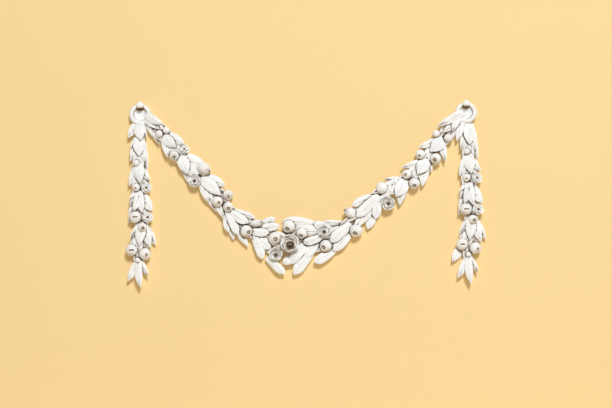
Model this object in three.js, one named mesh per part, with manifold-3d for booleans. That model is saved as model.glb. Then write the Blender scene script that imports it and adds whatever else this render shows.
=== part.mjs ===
// A cast plaster garland for a wall: a swag of leaves, fruit and roses that hangs between two rings,
// with a leafy drop below each ring. Five castings, all with flat backs, fixed to the wall side by side.
// Millimetres. +Z is up, +X is to the right, the front faces -Y and the flat backs lie on y = 0.
// The origin is on the back of the swag at mid-span, level with the lowest part of its stem.

import * as THREE from "three";
import { mergeVertices } from "three/addons/utils/BufferGeometryUtils.js";
import Module from "manifold-3d";

const wasm = await Module();
wasm.setup();

// Driving dimensions: the whole garland
const ringSpan = 1632;
const swagSag = 662;
const castingGap = 0.4;

// The rings
const ringDiameter = 110;
const ringTube = 22;
const ringHeight = 31;
const dishHeight = 11;
const knobDiameter = 36;
const knobHeight = 48;

// The drops
const leftDropStart = 112;
const leftDropLength = 615;
const leftDropShift = -3;
const leftDropLean = 0;
const rightDropStart = 64;
const rightDropLength = 656;
const rightDropShift = 15;
const rightDropLean = -11;

// The stems that the leaves spring from
const swagStemWidth = 62;
const swagStemHeight = 34;
const dropStemWidth = 42;
const dropStemHeight = 26;
const twigWidth = 16;
const twigHeight = 15;
const rootLap = 20;

// Leaves: each leaf's own length and width are shares of these two
const leafLength = 100;
const leafWidth = 50;
const leafLift = 17;
const layerStep = 10;
const ribHeight = 8;

// Fruit and flowers: each one's own size is a share of its kind's diameter
const berryDiameter = 40;
const fruitDiameter = 60;
const roseDiameter = 60;
const heroRoseDiameter = 94;
const fruitDepth = 28;
const roseHeight = 52;
const heroRoseHeight = 86;

// How far every form runs on behind the wall plane before the backs are cut flat
const backAllowance = 20;

const plasterColour = 0xf3f2f0;
const plasterRoughness = 0.8;

// The swag, spray by spray from the left ring to the right one. `at` is the share of the half span and
// `up` the rise over the stem's free curve. A leaf is [heading, length, width, layer, right, up], with
// the heading in degrees (0 to the right, -90 down) and the place where it springs from as shares of
// the leaf length. A fruit or flower is [kind, right, up, size, heading].
const swagSprays = [
  {
    at: -1, up: 0,
    leaves: [
      [-24, 1.08, 0.6, 1], [-41, 0.92, 0.7, 2], [-60, 0.93, 0.45, 1], [-30, 1.61, 0.5, 0],
      [-63, 1.54, 0.5, 0],
    ],
    nest: [["berry", 1.02, -0.64, 0.95], ["berry", 0.67, -0.81, 0.98]],
  },
  {
    at: -0.893, up: 0.05,
    leaves: [[-23, 1.25, 0.9, 1], [-42, 0.92, 0.8, 2], [-76, 1.16, 0.6, 1], [-37, 1.82, 0.7, 0]],
    nest: [["rose", 1.09, -0.7, 0.78], ["fruit", 0.57, -1.02, 0.84]],
  },
  {
    at: -0.785, up: -0.06,
    leaves: [
      [-66, 1, 0.9, 2], [-46, 1.35, 1, 1], [-20, 1.44, 1.1, 1], [-83, 0.79, 0.45, 1],
      [-31, 1.95, 0.7, 0], [-70, 1.6, 0.6, 0],
    ],
    nest: [["bud", 1.2, -0.59, 0.9, -26], ["rose", 0.74, -1.25, 1.02]],
  },
  {
    at: -0.645, up: 0,
    leaves: [[-75, 1.29, 0.7, 1], [-43, 1.29, 0.9, 2], [-16, 1.25, 0.9, 1], [-66, 1.84, 0.7, 0]],
    nest: [["fruit", 1.31, -0.84, 0.87], ["fruit", 0.78, -1.17, 0.94], ["fruit", 1.31, -1.45, 0.85]],
  },
  {
    at: -0.486, up: -0.36,
    leaves: [
      [-87, 1.11, 0.65, 1], [-78, 1.52, 0.6, 0], [-66, 1.37, 0.7, 2], [-31, 1.28, 0.8, 2],
      [-16, 1.47, 0.6, 1], [-60, 2.11, 0.7, 0],
    ],
    nest: [["fruit", 0.97, -1.05, 1.02], ["bud", 1.48, -0.67, 0.8, 0]],
  },
  {
    at: -0.327, up: -0.34,
    leaves: [
      [30, 1.33, 0.6, 0], [11, 1.41, 0.5, 1], [-6, 0.85, 0.7, 2], [-45, 1.3, 0.9, 1],
      [-70, 1.5, 0.8, 1],
    ],
    nest: [["fruit", 1.13, -0.38, 1.07], ["rose", 1.17, -1.16, 1.17]],
  },
  {
    at: -0.086, up: 0,
    leaves: [
      [169, 1.92, 0.85, 0, 1.5, 0.82], [-43, 1.14, 0.7, 1, -1.1, -0.7], [-126, 0.53, 0.7, 2, 0, -0.6],
    ],
    nest: [
      ["hero", 0, 0, 1], ["fruit", -0.07, 0.87, 1.08], ["fruit", 0.57, 0.53, 0.95],
      ["berry", 0.8, 0.16, 0.75],
    ],
  },
  {
    at: 0.092, up: 0.05,
    leaves: [
      [-130, 1.17, 0.9, 2, -0.7, -0.15], [-139, 1.15, 0.9, 1], [-127, 1.46, 0.95, 1, -0.36, -0.42],
      [-161, 0.9, 0.7, 2, 0.1, 0.25], [158, 1.18, 0.8, 0, 0.85, 0.55], [-146, 1.15, 0.8, 1, 0.75, -0.35],
    ],
    nest: [["rose", 0.29, 0.57, 1.1], ["fruit", 0.36, -0.16, 1]],
  },
  {
    at: 0.295, up: 0.1,
    leaves: [[172, 1.35, 0.5, 0], [-140, 1.32, 0.9, 2], [-131, 1.31, 0.9, 1, 0, -0.29]],
    nest: [["bud", 0, 0.63, 0.85, 180], ["fruit", 0.28, -0.27, 1.07]],
  },
  {
    at: 0.473, up: 0.39,
    leaves: [
      [-160, 1.4, 0.8, 1], [-137, 1.5, 0.9, 2], [-121, 1.62, 0.9, 1], [-108, 1.73, 0.8, 0],
      [-97, 1.17, 0.8, 1],
    ],
    nest: [["fruit", 0.18, 0.41, 1], ["rose", 0.5, -0.38, 1.15]],
  },
  {
    at: 0.645, up: -0.14,
    leaves: [[177, 1.07, 0.5, 0], [-137, 1.08, 0.8, 1], [-119, 0.99, 1, 2], [-103, 1.31, 0.8, 1]],
    nest: [["fruit", 0.08, 0.28, 0.84], ["fruit", 0.45, -0.18, 0.94]],
  },
  {
    at: 0.778, up: -0.25,
    leaves: [[-163, 1.31, 0.6, 1], [-121, 0.87, 1, 2], [-98, 1.35, 0.8, 1], [-66, 0.68, 0.7, 0]],
    nest: [["fruit", -0.28, 0.28, 0.82], ["fruit", 0.48, 0.05, 0.94]],
  },
  {
    at: 0.886, up: -0.14,
    leaves: [[-160, 1.34, 0.6, 1], [-135, 0.92, 1, 2], [-83, 1.16, 0.6, 1]],
    nest: [["berry", -0.31, 0.27, 0.95], ["berry", 0.28, 0.04, 1.12]],
  },
  {
    at: 1.007, up: 0.09,
    leaves: [[-151, 1.43, 0.6, 1], [-133, 1.38, 0.8, 2], [-100, 1.46, 0.8, 1]],
    nest: [],
  },
];

// A drop, tier by tier. `at` is the share of the drop's length and `right` the shift off its axis.
// The right drop has one more small leaf, under the fruit at its lower left.
const dropTiers = [
  {
    at: 0, right: 0,
    leaves: [
      [-124, 0.81, 0.6, 1], [-110, 1.34, 0.6, 1], [-91, 1, 0.9, 2], [-77, 1.31, 0.8, 1],
      [-77, 1.81, 0.6, 0],
    ],
    nest: [["berry", -0.15, -1.32, 0.85]],
  },
  {
    at: 0.22, right: -0.05,
    leaves: [[-112, 1.22, 0.7, 1], [-82, 1, 0.9, 2], [-55, 1.1, 0.7, 1]],
    nest: [["fruit", -0.1, -1.19, 0.68], ["rose", 0.41, -1.22, 0.88]],
  },
  {
    at: 0.447, right: 0,
    leaves: [
      [-138, 0.68, 0.6, 1], [-124, 0.89, 0.6, 1], [-105, 1.08, 0.6, 2], [-81, 1.09, 0.7, 2],
      [-56, 1.2, 0.9, 1], [-109, 1.68, 0.6, 0],
    ],
    nest: [["fruit", -0.19, -1.27, 0.95], ["rose", 0.43, -1.3, 0.85], ["fruit", 0.16, -1.8, 0.82]],
  },
  {
    at: 0.699, right: 0.1,
    leaves: [[-124, 1, 0.45, 1], [-94, 1.2, 0.8, 2], [-70, 1.39, 0.85, 1], [-57, 1.36, 0.7, 0]],
    rightOnly: [[-124, 0.86, 0.7, 0, -0.48, -1.55]],
    nest: [["fruit", -0.47, -1.37, 0.93], ["fruit", 0.19, -1.56, 0.98], ["berry", -0.16, -1.87, 0.7]],
  },
  {
    at: 1, right: -0.03,
    leaves: [[-115, 1.21, 0.8, 1], [-85, 1.39, 0.8, 2], [-59, 0.93, 0.6, 1]],
    nest: [],
  },
];

// The left drop hangs lower, and a short tier fills the space under its ring.
const leftTopTier = {
  at: -0.122, right: 0,
  leaves: [[-125, 1, 0.7, 1], [-84, 1, 0.9, 2], [-65, 0.87, 0.6, 1]],
  nest: [],
};

// How a leaf swells and dips along its length: the share of the length, the share of the half width,
// the height of its edges and how much of the rib stands there.
const leafStations = [
  { along: 0.24, half: 0.82, edge: 0.9, rib: 0.9 },
  { along: 0.66, half: 0.95, edge: 1, rib: 1 },
];
const leafRootHeight = 0.3;
const leafTipHeight = 0.85;
const leafBow = 0.05;

const degrees = Math.PI / 180;

// Closed skin over a row of rings of points, with a point at each end.
function skin(first, rings, last) {
  const around = rings[0].length;
  const points = [first, ...rings.flat(), last];
  const faces = [];
  for (let k = 0; k < around; k += 1) {
    const next = (k + 1) % around;
    faces.push(0, 1 + next, 1 + k);
    for (let ring = 0; ring < rings.length - 1; ring += 1) {
      const a = 1 + ring * around;
      const b = a + around;
      faces.push(a + k, a + next, b + next);
      faces.push(a + k, b + next, b + k);
    }
    const end = 1 + (rings.length - 1) * around;
    faces.push(end + k, end + next, points.length - 1);
  }
  const geometry = new THREE.BufferGeometry().setFromPoints(points);
  geometry.setIndex(faces);
  return geometry;
}

// A closed geometry as a solid: shared points merged and faces that have shrunk to a line left out.
const weldDistance = 0.001;

function solidOf(geometry) {
  geometry.deleteAttribute("normal");
  geometry.deleteAttribute("uv");
  const merged = mergeVertices(geometry, weldDistance);
  const index = merged.index.array;
  const faces = [];
  for (let i = 0; i < index.length; i += 3) {
    const [a, b, c] = [index[i], index[i + 1], index[i + 2]];
    if (a !== b && b !== c && c !== a) {
      faces.push(a, b, c);
    }
  }
  const mesh = new wasm.Mesh({
    numProp: 3,
    vertProperties: new Float32Array(merged.attributes.position.array),
    triVerts: new Uint32Array(faces),
  });
  return new wasm.Manifold(mesh);
}

// A place on the face of the garland: x and z as seen from the front, height out from the wall.
function at(x, z, height) {
  return new THREE.Vector3(x, -height, z);
}

// A leaf: a pointed blade with a raised midrib, and a keel below it that runs back to the wall.
function leaf(root, entry, order, grow) {
  const [heading, length, width, layer, right = 0, up = 0] = entry;
  const reach = length * leafLength + grow;
  const half = (width * leafWidth) / 2;
  const lift = leafLift + layer * layerStep;
  const bow = leafBow * reach * (order % 2 === 0 ? 1 : -1);
  const ahead = new THREE.Vector2(Math.cos(heading * degrees), Math.sin(heading * degrees));
  const across = new THREE.Vector2(-ahead.y, ahead.x);
  const start = new THREE.Vector2(root.x + right * leafLength, root.y + up * leafLength);
  const place = (along, side, height) => {
    const shift = side + bow * Math.sin(along * Math.PI);
    const spot = start.clone().addScaledVector(ahead, along * reach).addScaledVector(across, shift);
    return at(spot.x, spot.y, height);
  };
  const rings = leafStations.map((station) => {
    const edge = lift * station.edge;
    const side = half * station.half + grow;
    return [
      place(station.along, side, edge),
      place(station.along, 0, edge + ribHeight * station.rib + grow),
      place(station.along, -side, edge),
      place(station.along, 0, -backAllowance),
    ];
  });
  return skin(place(0, 0, lift * leafRootHeight), rings, place(1, 0, lift * leafTipHeight));
}

// What nests among the leaves, by kind. A bud is drawn out along its heading.
const kinds = {
  berry: { diameter: berryDiameter, stretch: 1 },
  fruit: { diameter: fruitDiameter, stretch: 1 },
  bud: { diameter: fruitDiameter, stretch: 1.2 },
  rose: { diameter: roseDiameter, height: roseHeight },
  hero: { diameter: heroRoseDiameter, height: heroRoseHeight },
};

// A round fruit, berry or bud, whose back runs on to the wall as a short boss.
const fruitSides = 6;
const fruitBands = 4;
const bossSpread = 1.28;

function roundFruit(root, entry, { diameter, stretch }, grow) {
  const [, right, up, size, heading = 0] = entry;
  const radius = (size * diameter) / 2 + grow;
  const geometry = new THREE.SphereGeometry(radius, fruitSides, fruitBands);
  const position = geometry.attributes.position;
  for (let i = 0; i < position.count; i += 1) {
    if (position.getY(i) > radius / 2) {
      const [x, z] = [position.getX(i), position.getZ(i)];
      position.setXYZ(i, x * bossSpread, fruitDepth + backAllowance, z * bossSpread);
    }
  }
  geometry.scale(stretch, 1, 1);
  geometry.rotateY(-heading * degrees);
  geometry.translate(root.x + right * leafLength, -fruitDepth, root.y + up * leafLength);
  return geometry;
}

// The rings of points that make a rose: shares of its radius and height, and how far its petals wave
// in and out. The first ring is its seat behind the wall plane.
const roseRings = [
  { reach: 0.92, wave: 0 },
  { reach: 1, wave: 0.08, height: 0.5 },
  { reach: 0.62, wave: 0.06, height: 1 },
];
const petals = 5;
const roseHeart = 0.78;

// An open rose: petals with turned-over rims round a sunk heart.
function rose(root, entry, { diameter, height }, grow) {
  const [, right, up, size] = entry;
  const radius = (size * diameter) / 2;
  const x = root.x + right * leafLength;
  const z = root.y + up * leafLength;
  const rings = roseRings.map((ring, row) => {
    const points = [];
    for (let k = 0; k < 2 * petals; k += 1) {
      const angle = ((k + 0.5 * row) / (2 * petals)) * 2 * Math.PI;
      const reach = radius * (ring.reach + (k % 2 === 0 ? ring.wave : -ring.wave)) + grow;
      const out = row === 0 ? -backAllowance : height * ring.height + grow;
      points.push(at(x + reach * Math.cos(angle), z + reach * Math.sin(angle), out));
    }
    return points;
  });
  return skin(at(x, z, -backAllowance), rings, at(x, z, height * roseHeart + grow));
}

function nestling(root, entry, grow) {
  const kind = kinds[entry[0]];
  const shape = kind.height ? rose : roundFruit;
  return shape(root, entry, kind, grow);
}

// A stem along a row of places: a low ridged bar whose back runs on behind the wall. Its section is
// given from side to side as shares of its width and height.
const stemSection = [
  [-0.5, 0.3],
  [0, 1],
  [0.5, 0.3],
];
const swagStemSteps = 14;
const dropStemSteps = 5;

function stem(places, width, height, steps, grow) {
  const curve = new THREE.CatmullRomCurve3(places.map((p) => at(p.x, p.y, 0)));
  const rings = [];
  for (let i = 0; i <= steps; i += 1) {
    const middle = curve.getPointAt(i / steps);
    const ahead = curve.getTangentAt(i / steps);
    const side = new THREE.Vector2(ahead.z, -ahead.x);
    const ring = stemSection.map(([across, out]) => {
      const reach = across * (width + 2 * grow);
      return at(middle.x + side.x * reach, middle.z + side.y * reach, out * height + grow);
    });
    const back = [ring[0], ring[ring.length - 1]].map((edge) => at(edge.x, edge.z, -backAllowance));
    rings.push([back[0], ...ring, back[1]]);
  }
  const cap = (ring) => ring[0].clone().lerp(ring[2], 0.5);
  return skin(cap(rings[0]), rings, cap(rings[steps]));
}

// A twig: it ties a fruit, a flower or a leaf that starts clear of the stem to the root of its spray,
// and runs a lap past the place where that starts.
function twig(root, right, up) {
  const end = new THREE.Vector2(root.x + right * leafLength, root.y + up * leafLength);
  const ahead = end.clone().sub(root).normalize();
  end.addScaledVector(ahead, rootLap);
  const middle = root.clone().lerp(end, 0.5);
  const side = new THREE.Vector2(-ahead.y, ahead.x).multiplyScalar(twigWidth / 2);
  const ring = [
    at(middle.x + side.x, middle.y + side.y, twigHeight),
    at(middle.x - side.x, middle.y - side.y, twigHeight),
    at(middle.x, middle.y, -backAllowance),
  ];
  return skin(at(root.x, root.y, twigHeight / 2), [ring], at(end.x, end.y, twigHeight / 2));
}

// Everything that springs from one root, joined to what is there already.
function addSpray(body, root, spray, grow) {
  const forms = spray.leaves.map((entry, order) => leaf(root, entry, order, grow));
  forms.push(...spray.nest.map((entry) => nestling(root, entry, grow)));
  const places = [
    ...spray.leaves.map(([, , , , right = 0, up = 0]) => [right, up]),
    ...spray.nest.map(([, right, up]) => [right, up]),
  ];
  const clear = places.filter(([right, up]) => Math.hypot(right, up) * leafLength > swagStemWidth / 2);
  forms.push(...clear.map(([right, up]) => twig(root, right, up)));
  return forms.reduce((joined, form) => joined.add(solidOf(form)), body);
}

// Where the swag's stem runs: a chain's curve between the rings, ending a little inside their rims.
const stemEndInside = 0.27 * ringDiameter;
const stemEndBelow = 0.16 * ringDiameter;
const stemBend = 0.42;

function swagRoot(spray) {
  const rise = (Math.hypot(spray.at, stemBend) - stemBend) / (Math.hypot(1, stemBend) - stemBend);
  const x = spray.at * (ringSpan / 2 - stemEndInside);
  return new THREE.Vector2(x, rise * (swagSag - stemEndBelow) + spray.up * leafLength);
}

// A drop's tiers hang below its ring's centre. Its stem starts at the rim and ends at the last tier.
// The lean is how far its last tier hangs to the right of plumb.
const drops = [
  {
    name: "drop_left",
    side: -1,
    start: leftDropStart,
    length: leftDropLength,
    shift: leftDropShift,
    lean: leftDropLean,
  },
  {
    name: "drop_right",
    side: 1,
    start: rightDropStart,
    length: rightDropLength,
    shift: rightDropShift,
    lean: rightDropLean,
  },
];

function tiersOf(drop) {
  if (drop.side < 0) {
    return [leftTopTier, ...dropTiers];
  }
  return dropTiers.map((tier) => ({ ...tier, leaves: [...tier.leaves, ...(tier.rightOnly ?? [])] }));
}

function dropSolid(drop, grow) {
  const axis = (drop.side * ringSpan) / 2 + drop.shift;
  const root = (tier) =>
    new THREE.Vector2(
      axis + tier.right * leafLength + tier.at * drop.lean,
      swagSag - drop.start - tier.at * drop.length,
    );
  const top = new THREE.Vector2(axis, swagSag - ringDiameter / 2 + ringTube / 2);
  const tail = root(dropTiers[dropTiers.length - 1]).add(new THREE.Vector2(0, -rootLap));
  const places = [top, ...dropTiers.slice(1, -1).map(root), tail];
  const body = solidOf(stem(places, dropStemWidth, dropStemHeight, dropStemSteps, grow));
  return tiersOf(drop).reduce((joined, tier) => addSpray(joined, root(tier), tier, grow), body);
}

function swagSolid() {
  const body = solidOf(stem(swagSprays.map(swagRoot), swagStemWidth, swagStemHeight, swagStemSteps, 0));
  return swagSprays.reduce((joined, spray) => addSpray(joined, swagRoot(spray), spray, 0), body);
}

// A knob is a short peg with a domed end: shares of its radius, and how far below its top each stands.
const knobDome = [
  { reach: 0, below: 0 },
  { reach: 0.7, below: 0.18 },
  { reach: 1, below: 0.6 },
];
const ringSides = 14;
const knobSides = 7;
const knobSeat = 0.3;

// The ring's hollow and its tube: shares of the way out over the dish, and degrees round the tube from
// its inner side over its top to its outer side.
const dishShares = [0, 0.5];
const tubeTurns = [180, 135, 90, 45, 0];

// A turned form on an axis that stands on the wall, from its profile of radii and heights.
function turned(profile, sides, x, z) {
  const outline = profile.map(([radius, height]) => new THREE.Vector2(radius, -height));
  const geometry = new THREE.LatheGeometry(outline, sides);
  geometry.translate(x, 0, z);
  return solidOf(geometry);
}

// A ring with its shallow dish, and the knob seated on the top of its rim.
function ringSolid(side, grow) {
  const x = (side * ringSpan) / 2;
  const tube = ringTube / 2;
  const tubeRun = ringDiameter / 2 - tube;
  const tubeAxis = ringHeight - tube;
  const dish = dishShares.map((share) => [
    share * (tubeRun - tube),
    dishHeight + share * share * (tubeAxis - dishHeight) + grow,
  ]);
  const rim = tubeTurns.map((turn) => [
    tubeRun + (tube + grow) * Math.cos(turn * degrees),
    tubeAxis + (tube + grow) * Math.sin(turn * degrees),
  ]);
  const outer = ringDiameter / 2 + grow;
  const back = [[outer, -backAllowance], [0, -backAllowance]];
  const knobRadius = knobDiameter / 2 + grow;
  const knobTop = knobHeight + grow;
  const knob = knobDome.map(({ reach, below }) => [reach * knobRadius, knobTop - below * knobRadius]);
  const knobBack = [[knobRadius, -backAllowance], [0, -backAllowance]];
  const knobZ = swagSag + ringDiameter / 2 - knobSeat * knobDiameter;
  const ring = turned([...dish, ...rim, ...back], ringSides, x, swagSag);
  return ring.add(turned([...knob, ...knobBack], knobSides, x, knobZ));
}

// The wall: all that runs behind y = 0 is cut away, so each casting gets its flat back.
function wallSolid() {
  const deep = 4 * backAllowance + fruitDiameter;
  const wide = 2 * ringSpan;
  const wall = new THREE.BoxGeometry(wide, deep, wide);
  wall.translate(0, deep / 2, 0);
  return solidOf(wall);
}

const garland = new THREE.Group();
const wall = wallSolid();

function place(name, solid) {
  const cast = solid.subtract(wall).getMesh();
  const geometry = new THREE.BufferGeometry();
  geometry.setAttribute("position", new THREE.BufferAttribute(new Float32Array(cast.vertProperties), 3));
  geometry.setIndex(new THREE.BufferAttribute(new Uint32Array(cast.triVerts), 1));
  geometry.computeVertexNormals();
  const plaster = new THREE.MeshStandardMaterial({
    color: plasterColour,
    roughness: plasterRoughness,
    metalness: 0,
  });
  const mesh = new THREE.Mesh(geometry, plaster);
  mesh.name = name;
  garland.add(mesh);
}

// The rings are whole. The drops and the swag lap over their rims, so they are cut to them with a
// gap, and the swag is cut to the drops.
const widerRings = ringSolid(-1, castingGap).add(ringSolid(1, castingGap));
const widerDrops = drops.map((drop) => dropSolid(drop, castingGap)).reduce((all, drop) => all.add(drop));

place("swag", swagSolid().subtract(widerRings).subtract(widerDrops));
place("ring_left", ringSolid(-1, 0));
place("ring_right", ringSolid(1, 0));
for (const drop of drops) {
  place(drop.name, dropSolid(drop, 0).subtract(widerRings));
}

export default garland;
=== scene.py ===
import math
import random

import bmesh
import bpy
import numpy as np
from mathutils import Matrix, Quaternion, Vector
from mathutils.bvhtree import BVHTree


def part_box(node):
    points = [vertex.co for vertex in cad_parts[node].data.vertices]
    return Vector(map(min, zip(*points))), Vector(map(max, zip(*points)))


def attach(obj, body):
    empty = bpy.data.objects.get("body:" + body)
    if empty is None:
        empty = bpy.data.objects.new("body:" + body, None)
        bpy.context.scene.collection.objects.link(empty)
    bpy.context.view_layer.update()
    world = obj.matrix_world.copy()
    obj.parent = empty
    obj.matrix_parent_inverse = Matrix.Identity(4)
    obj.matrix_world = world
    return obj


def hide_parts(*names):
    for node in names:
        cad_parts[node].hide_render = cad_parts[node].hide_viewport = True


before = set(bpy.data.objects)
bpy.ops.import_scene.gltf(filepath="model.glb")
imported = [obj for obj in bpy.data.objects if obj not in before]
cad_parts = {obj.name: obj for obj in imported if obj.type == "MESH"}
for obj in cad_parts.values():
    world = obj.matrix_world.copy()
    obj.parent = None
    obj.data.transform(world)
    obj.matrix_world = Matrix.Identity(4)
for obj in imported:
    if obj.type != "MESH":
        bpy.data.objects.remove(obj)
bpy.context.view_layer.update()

# The rings. Each is one casting: a round rim over a shallow dish, with a knob on top that looks like
# the head of the peg it hangs from. All castings are gypsum plaster under many coats of white lime
# paint, with dirt and painted shade in the folds, painted warm shade on the undersides and a grey
# bloom of dust.
ring_diameter = 0.110
ring_tube = 0.022
ring_height = 0.031
dish_height = 0.011
knob_diameter = 0.036
knob_height = 0.048
ring_sides = 96
ring_edge_taper = 0.0008
dish_rows = 12
dish_share = 0.94
rim_rows = 22
knob_sides = 40
knob_rows = 20
knob_neck = 0.72
knob_flatness = 0.55
back_allowance = 0.020
wall_reach = 4.0
wall_depth = 0.5

# The warm colour serves for stains and for painted warm shade; the dark brown for dirt and for painted shade
# in folds and hollows.
paint_white = (0.90, 0.895, 0.885, 1)
paint_grey = (0.73, 0.735, 0.74, 1)
stain_and_warm_shade = (0.56, 0.43, 0.28, 1)
dirt_and_shade_brown = (0.15, 0.098, 0.052, 1)


def add_socket(tree, name, kind, way="INPUT", value=None):
    socket = tree.interface.new_socket(name, in_out=way, socket_type=kind)
    if value is not None:
        socket.default_value = value
    return socket


def shader_node(tree, kind, place, **settings):
    node = tree.nodes.new(kind)
    node.location = place
    for name, value in settings.items():
        setattr(node, name, value)
    return node


def shaded_weathered_paint_group():
    """Old paint: cloudy whites, painted warm shade on the undersides, and dirt with painted shade where
    the three masks say.

    The masks are attributes of the points: crevice and groove say how shut in a point is, and the third
    says how much darker a point is painted, or below zero how far it is kept clear of the dark of folds.
    """
    tree = bpy.data.node_groups.new("weathered paint and painted shade", "ShaderNodeTree")
    add_socket(tree, "Paint", "NodeSocketColor", value=paint_white)
    add_socket(tree, "Shade", "NodeSocketColor", value=paint_grey)
    add_socket(tree, "Stain And Warm Shade", "NodeSocketColor", value=stain_and_warm_shade)
    add_socket(tree, "Dirt And Shade", "NodeSocketColor", value=dirt_and_shade_brown)
    add_socket(tree, "Patch Size", "NodeSocketFloat", value=0.05)
    add_socket(tree, "Darkening Strength", "NodeSocketFloat", value=1.0)
    add_socket(tree, "Color", "NodeSocketColor", "OUTPUT")
    add_socket(tree, "Roughness", "NodeSocketFloat", "OUTPUT")
    add_socket(tree, "Height", "NodeSocketFloat", "OUTPUT")
    link = tree.links.new
    given = shader_node(tree, "NodeGroupInput", (-1500, 0))
    out = shader_node(tree, "NodeGroupOutput", (1300, 0))
    place = shader_node(tree, "ShaderNodeTexCoord", (-1500, 500))
    masks = {}
    for row, name in enumerate(("crevice", "groove", "darkening")):
        mask = shader_node(tree, "ShaderNodeAttribute", (-1500, -300 - 200 * row), attribute_name=name)
        masks[name] = mask.outputs["Fac"]
    surface = shader_node(tree, "ShaderNodeNewGeometry", (-1500, 250))
    facing = shader_node(tree, "ShaderNodeSeparateXYZ", (-1300, 250))
    link(surface.outputs["Normal"], facing.inputs[0])

    scale = shader_node(tree, "ShaderNodeMath", (-1300, 650), operation="DIVIDE")
    scale.inputs[0].default_value = 1.0
    link(given.outputs["Patch Size"], scale.inputs[1])
    clouds = shader_node(tree, "ShaderNodeTexNoise", (-1100, 600))
    clouds.inputs["Detail"].default_value = 6.0
    clouds.inputs["Roughness"].default_value = 0.62
    link(place.outputs["Object"], clouds.inputs["Vector"])
    link(scale.outputs[0], clouds.inputs["Scale"])
    specks = shader_node(tree, "ShaderNodeTexNoise", (-1100, 850))
    specks.inputs["Scale"].default_value = 260.0
    specks.inputs["Detail"].default_value = 5.0
    specks.inputs["Roughness"].default_value = 0.7
    link(place.outputs["Object"], specks.inputs["Vector"])

    def ramp(value, low, high, at, top=1.0):
        node = shader_node(tree, "ShaderNodeMapRange", at, interpolation_type="SMOOTHSTEP")
        node.inputs["From Min"].default_value = low
        node.inputs["From Max"].default_value = high
        node.inputs["To Max"].default_value = top
        link(value, node.inputs["Value"])
        return node.outputs["Result"]

    def mix(factor, a, b, at):
        node = shader_node(tree, "ShaderNodeMix", at, data_type="RGBA")
        link(factor, node.inputs["Factor"])
        link(a, node.inputs["A"])
        link(b, node.inputs["B"])
        return node.outputs["Result"]

    def times(a, b, at, kind="MULTIPLY"):
        node = shader_node(tree, "ShaderNodeMath", at, operation=kind)
        for socket, value in zip(node.inputs, (a, b)):
            if isinstance(value, float):
                socket.default_value = value
            else:
                link(value, socket)
        return node.outputs[0]

    patches = ramp(clouds.outputs["Fac"], low=0.46, high=0.72, at=(-850, 600), top=0.55)
    colour = mix(patches, given.outputs["Paint"], given.outputs["Shade"], (-500, 400))
    # Painted warm shade: faces that turn downwards take the warm colour, in blotches.
    downward = times(facing.outputs["Z"], -1.0, (-1100, 250))
    under = ramp(downward, low=0.1, high=0.9, at=(-850, 250), top=0.55)
    blotch = ramp(clouds.outputs["Fac"], low=0.34, high=0.60, at=(-850, 80))
    colour = mix(times(under, blotch, (-500, 200)), colour, given.outputs["Stain And Warm Shade"], (-250, 350))
    # Dirt and painted shade: points that are shut in, and points the third mask marks, take the warm colour.
    shallow = ramp(masks["crevice"], low=0.25, high=0.70, at=(-850, -120), top=0.65)
    shallow = times(shallow, masks["darkening"], (-450, -120), "ADD")
    colour = mix(shallow, colour, given.outputs["Stain And Warm Shade"], (0, 300))
    # Dirt and painted shade: close folds, deep hollows and points the third mask marks turn dark brown;
    # points kept clear lose some of it.
    uneven = times(clouds.outputs["Fac"], 0.4, (-850, -300))
    folds = times(masks["groove"], uneven, (-650, -300), "ADD")
    folds = ramp(folds, low=0.42, high=0.80, at=(-450, -300))
    hollows = times(masks["crevice"], uneven, (-650, -500), "ADD")
    hollows = ramp(hollows, low=0.74, high=1.02, at=(-450, -500))
    marked_dark = times(masks["darkening"], uneven, (-650, -700), "ADD")
    marked_dark = ramp(marked_dark, low=0.5, high=1.25, at=(-450, -700))
    dark = times(folds, hollows, (-250, -400), "MAXIMUM")
    dark = times(dark, given.outputs["Darkening Strength"], (-100, -400))
    kept_clear = times(masks["darkening"], 0.0, (-450, -900), "MINIMUM")
    dark = times(dark, kept_clear, (0, -500), "ADD")
    dark = times(dark, marked_dark, (100, -400), "MAXIMUM")
    colour = mix(dark, colour, given.outputs["Dirt And Shade"], (350, 200))
    fleck = ramp(specks.outputs["Fac"], low=0.66, high=0.74, at=(-850, 850), top=0.35)
    colour = mix(fleck, colour, given.outputs["Stain And Warm Shade"], (650, 300))
    link(colour, out.inputs["Color"])
    rough = shader_node(tree, "ShaderNodeMapRange", (650, 0))
    rough.inputs["From Min"].default_value = 0.3
    rough.inputs["From Max"].default_value = 0.7
    rough.inputs["To Min"].default_value = 0.52
    rough.inputs["To Max"].default_value = 0.74
    link(clouds.outputs["Fac"], rough.inputs["Value"])
    dusty = times(dark, 0.2, (650, -250))
    link(times(rough.outputs["Result"], dusty, (900, -100), "ADD"), out.inputs["Roughness"])
    grain = times(specks.outputs["Fac"], 0.4, (650, 900))
    link(times(grain, clouds.outputs["Fac"], (900, 700), "ADD"), out.inputs["Height"])
    return tree


shaded_weathered_paint = shaded_weathered_paint_group()


def painted_plaster(name, darkening_strength, patch_size):
    material = bpy.data.materials.new(name)
    material.use_nodes = True
    tree = material.node_tree
    shader = tree.nodes["Principled BSDF"]
    shader.inputs["Specular IOR Level"].default_value = 0.35
    group = shader_node(tree, "ShaderNodeGroup", (-500, 300), node_tree=shaded_weathered_paint)
    group.inputs["Darkening Strength"].default_value = darkening_strength
    group.inputs["Patch Size"].default_value = patch_size
    bump = shader_node(tree, "ShaderNodeBump", (-250, -150))
    bump.inputs["Strength"].default_value = 0.45
    bump.inputs["Distance"].default_value = 0.0012
    tree.links.new(group.outputs["Color"], shader.inputs["Base Color"])
    tree.links.new(group.outputs["Roughness"], shader.inputs["Roughness"])
    tree.links.new(group.outputs["Height"], bump.inputs["Height"])
    tree.links.new(bump.outputs["Normal"], shader.inputs["Normal"])
    return material


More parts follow.
